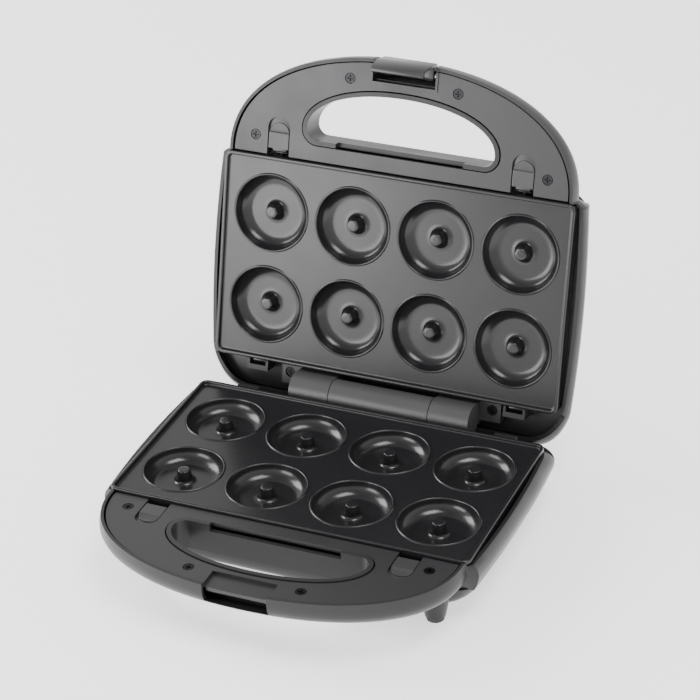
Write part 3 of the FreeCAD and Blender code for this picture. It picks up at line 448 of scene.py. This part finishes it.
button_grey = finish("button_satin_grey", BUTTON_GREY, 0.36)
for half, place in (("lower", in_base), ("upper", in_lid)):
    for side, middle in (("left", -BUTTON_X), ("right", BUTTON_X)):
        surfaces = button_top(middle)
        surfaces += block((middle - FLANGE_HALF, FLANGE_FRONT, FLANGE_TOP),
                          (middle + FLANGE_HALF, BUTTON_REAR, BUTTON_FOOT))
        surfaces += block((middle - TONGUE_HALF, BUTTON_REAR - 1.0, TONGUE_TOP),
                          (middle + TONGUE_HALF, TONGUE_END, TONGUE_FOOT))
        surfaces += block((middle - SHELF_HALF, SHELF_FRONT, SHELF_TOP),
                          (middle + SHELF_HALF, DOME_Y, SHELF_FOOT), 0.1)
        button = make_piece("button_" + half + "_" + side, surfaces, place, half + "_button_" + side)
        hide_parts(half + "_release_button_" + side)
        coat_with(button, button_grey)


# ---------------------------------------------------------------------------------
# Hinge. A centre barrel on the base between two knuckles on the lid, moulded in satin
# plastic, on two steel tube pins. Screws hold the feet of the barrel and the knuckles.
# ---------------------------------------------------------------------------------
HINGE_GREY = (0.050, 0.050, 0.051)

hinge_grey = finish("hinge_satin_grey", HINGE_GREY, 0.36)
moulded_from("hinge_centre_barrel", "barrel_centre", "base", hinge_grey)
for side in ("left", "right"):
    moulded_from("hinge_knuckle_" + side, "knuckle_" + side, "lid", hinge_grey)


# ---------------------------------------------------------------------------------
# Latch. A springy plastic clip hung on a steel pin in the lid's handle; its hook goes
# under the base handle's keeper when the lid is shut.
# ---------------------------------------------------------------------------------
LATCH_GREY = (0.030, 0.030, 0.031)
LATCH_HALF = 16.7
CHEEK_INNER = 11.0            # the clip is open between its two cheeks
PIVOT = (-127.0, 6.5)         # (y, depth) of the pin


def clip_wall():
    """(y, depth) round the clip's curved wall and hook: the outer face is the cubic through four points."""
    outer_y, outer_w = (-134.4, -134.8, -134.1, -131.8), (8.6, 0.0, -7.5, -13.4)
    depth = np.linspace(outer_w[0], outer_w[-1], 24)
    outer = np.stack([np.polyval(np.polyfit(outer_w, outer_y, 3), depth), depth], 1)
    hook = arc((-131.6, -13.5), (-130.2, -14.0), (-129.3, -13.9), 4)
    tip = arc((-128.9, -13.4), (-128.5, -12.8), (-128.6, -12.2), 4)
    inner = [(-130.6, -11.7), (-131.3, -11.2), (-131.7, -10.0), (-132.2, -7.5), (-132.5, -2.0)]
    upper = [(-132.5, 9.0), (-132.8, 9.9), (-133.9, 9.2)]
    return np.concatenate([outer, hook, tip, inner, upper])


latch_grey = finish("latch_satin_grey", LATCH_GREY, 0.34)
surfaces = prism(clip_wall(), -LATCH_HALF, LATCH_HALF, 0)
for side in (-1, 1):
    low, high = sorted((side * CHEEK_INNER, side * LATCH_HALF))
    surfaces += block((low, -133.0, 3.2), (high, PIVOT[0], 9.8))
    surfaces.append(rod((low, *PIVOT), (high, *PIVOT), 3.3))
clip = make_piece("clip", surfaces, in_lid, "latch")
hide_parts("latch_clip")
coat_with(clip, latch_grey)


# ---------------------------------------------------------------------------------
# Screws, pins and the parts inside. The plain CAD solids, each with its own finish:
# zinc steel, dark steel, aluminium, rubber, glass and wire insulation.
# ---------------------------------------------------------------------------------
SLOT_FINISHES = {
    "housing_plastic": (HOUSING_BLACK, 0.40, 0.0),
    "frame_plastic": (FRAME_BLACK, 0.40, 0.0),
    "nonstick_plate": (NONSTICK, NONSTICK_ROUGHNESS, 0.0),
    "button_plastic": (BUTTON_GREY, 0.36, 0.0),
    "hinge_plastic": (HINGE_GREY, 0.36, 0.0),
    "latch_plastic": (LATCH_GREY, 0.34, 0.0),
    "zinc_steel": ((0.55, 0.55, 0.56), 0.28, 1.0),
    "dark_screw_steel": ((0.028, 0.028, 0.030), 0.32, 1.0),
    "element_steel": ((0.30, 0.28, 0.26), 0.38, 1.0),
    "shield_aluminium": ((0.80, 0.80, 0.81), 0.30, 1.0),
    "foot_rubber": ((0.030, 0.030, 0.030), 0.75, 0.0),
    "wire_insulation": ((0.35, 0.30, 0.24), 0.55, 0.0),
    "lens_plastic": ((0.45, 0.03, 0.02), 0.15, 0.0),
    "lamp_glass": ((0.60, 0.55, 0.50), 0.10, 0.0),
}
slot_materials = {slot: finish(slot, colour, rough, metallic=metal)
                  for slot, (colour, rough, metal) in SLOT_FINISHES.items()}
shown_slots = {}
for part in frame["record"]["subparts"]:
    shown_slots[part["node"]] = part["material_slot"]
for name, node in nodes.items():
    coat_with(node, slot_materials[shown_slots[name]])


# ---------------------------------------------------------------------------------
# Studio. A pale, faintly glowing floor under a surround that is bright near the horizon;
# three large soft lights; the camera looks down from the front, right of the middle.
# ---------------------------------------------------------------------------------
FLOOR_HALF = 6.0
FLOOR_GLOW = 1.1
HORIZON = 1.4                      # radiance of the surround at the horizon and overhead
OVERHEAD = 0.5
CAMERA_AZIMUTH = math.radians(23.881)
CAMERA_ELEVATION = math.radians(30.637)
CAMERA_ROLL = math.radians(-2.192)
CAMERA_AIM = (12.511, 70.327)      # mm right of and above the middle of the cooking fields
CAMERA_DISTANCE = 1635.18
CAMERA_LENS = 142.246
SENSOR = 36.0


def soft_light(name, place, aim, size, watts):
    """A rectangular area light at place, turned so that its face looks at the aim point."""
    lamp = bpy.data.lights.new(name, "AREA")
    lamp.shape = "RECTANGLE"
    lamp.size, lamp.size_y = size
    lamp.energy = watts
    light = bpy.data.objects.new(name, lamp)
    bpy.context.scene.collection.objects.link(light)
    light.location = place
    light.rotation_euler = (Vector(aim) - Vector(place)).to_track_quat("-Z", "Y").to_euler()
    light.visible_camera = False


floor_mesh = bpy.data.meshes.new("studio_floor")
floor_mesh.from_pydata([(-FLOOR_HALF, -FLOOR_HALF, 0), (FLOOR_HALF, -FLOOR_HALF, 0),
                        (FLOOR_HALF, FLOOR_HALF, 0), (-FLOOR_HALF, FLOOR_HALF, 0)], [], [(0, 1, 2, 3)])
floor = bpy.data.objects.new("studio_floor", floor_mesh)
bpy.context.scene.collection.objects.link(floor)
floor_pale = finish("floor_pale", (0.86, 0.86, 0.86), 0.7, depth=0.0)
floor_shader = floor_pale.node_tree.nodes["Principled BSDF"]
floor_shader.inputs["Emission Color"].default_value = (1.0, 1.0, 1.0, 1.0)
floor_shader.inputs["Emission Strength"].default_value = FLOOR_GLOW
coat_with(floor, floor_pale)

surround = bpy.data.worlds.new("studio_surround")
surround.use_nodes = True
sky = surround.node_tree
direction = sky.nodes.new("ShaderNodeTexCoord")
parts_of_direction = sky.nodes.new("ShaderNodeSeparateXYZ")
brightness = sky.nodes.new("ShaderNodeMapRange")
brightness.inputs["From Min"].default_value = 0.35
brightness.inputs["From Max"].default_value = 0.9
brightness.inputs["To Min"].default_value = HORIZON
brightness.inputs["To Max"].default_value = OVERHEAD
sky.links.new(direction.outputs["Generated"], parts_of_direction.inputs["Vector"])
sky.links.new(parts_of_direction.outputs["Z"], brightness.inputs["Value"])
sky.links.new(brightness.outputs["Result"], sky.nodes["Background"].inputs["Strength"])
sky.nodes["Background"].inputs["Color"].default_value = (1.0, 1.0, 1.0, 1.0)
bpy.context.scene.world = surround

soft_light("light_front_left", (-0.74, -0.98, 0.30), (0, 0.1, 0.15), (0.7, 0.55), 9.5)
soft_light("light_left", (-1.75, 0.15, 1.05), (0, 0, 0.05), (1.0, 1.1), 34)
soft_light("light_above", (0.6, -0.25, 1.85), (0, 0, 0.05), (1.0, 0.8), 26)

camera_data = bpy.data.cameras.new("camera")
camera_data.lens = CAMERA_LENS
camera_data.sensor_width = SENSOR
camera_data.clip_end = 50.0
camera = bpy.data.objects.new("camera", camera_data)
bpy.context.scene.collection.objects.link(camera)
towards = Vector((math.sin(CAMERA_AZIMUTH) * math.cos(CAMERA_ELEVATION),
                  -math.cos(CAMERA_AZIMUTH) * math.cos(CAMERA_ELEVATION), math.sin(CAMERA_ELEVATION)))
level = Vector((0, 0, 1)).cross(towards).normalized()
upright = towards.cross(level)
across = level * math.cos(CAMERA_ROLL) + upright * math.sin(CAMERA_ROLL)
upwards = upright * math.cos(CAMERA_ROLL) - level * math.sin(CAMERA_ROLL)
stand = across * CAMERA_AIM[0] + upwards * CAMERA_AIM[1] + towards * CAMERA_DISTANCE
camera.location = (stand + Vector((0, CENTRE_Y, FIELD_Z))) / 1000
camera.rotation_mode = "QUATERNION"
camera.rotation_quaternion = Matrix((across, upwards, towards)).transposed().to_quaternion()
bpy.context.scene.camera = camera
